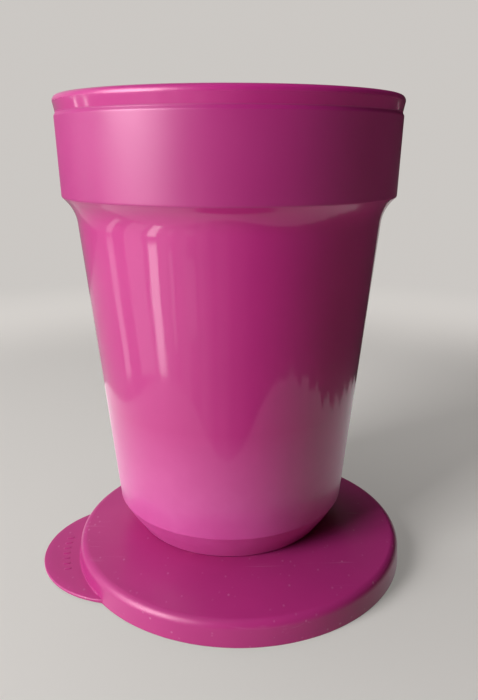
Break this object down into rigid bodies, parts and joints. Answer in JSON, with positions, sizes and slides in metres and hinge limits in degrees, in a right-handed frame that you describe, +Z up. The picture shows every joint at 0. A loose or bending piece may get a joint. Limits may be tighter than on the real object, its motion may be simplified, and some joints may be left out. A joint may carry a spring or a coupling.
{
  "type": "drinking tumbler with lid",
  "caption": "Tapered plastic drinking tumbler with a wide band under its rim, standing on its own round press-on lid, which has a thumb tab.",
  "frame": {"origin": "middle of the footprint of the lid, its tab and the cup's rim, at table height", "axes": "+Z up along the cup's axis, +Y away from the side that the tumbler is seen from, the lid's thumb tab towards -X"},
  "size_m": [0.1052, 0.1021, 0.129],
  "materials": {
    "cup_plastic": "glossy moulded polypropylene, with a satin band under the rim",
    "lid_plastic": "satin soft polyethylene, lightly scuffed"
  },
  "bodies": {
    "lid": {"lid": "lid_plastic"},
    "cup": {"tumbler_cup": "cup_plastic"},
    "tab": {"lid_tab": "lid_plastic"}
  },
  "joints": [
    {"name": "cup_lift", "type": "slide", "parent": "lid", "child": "cup", "axis": [0, 0, 1], "range_m": [0, 0.08]},
    {"name": "tab_flex", "type": "hinge", "parent": "lid", "child": "tab", "pos_m": [-0.04279, -0.01183, 0.00144], "axis": [-0.1736, 0.9848, 0], "range_deg": [0, 50], "stiffness_Nm_per_rad": 0.05}
  ]
}
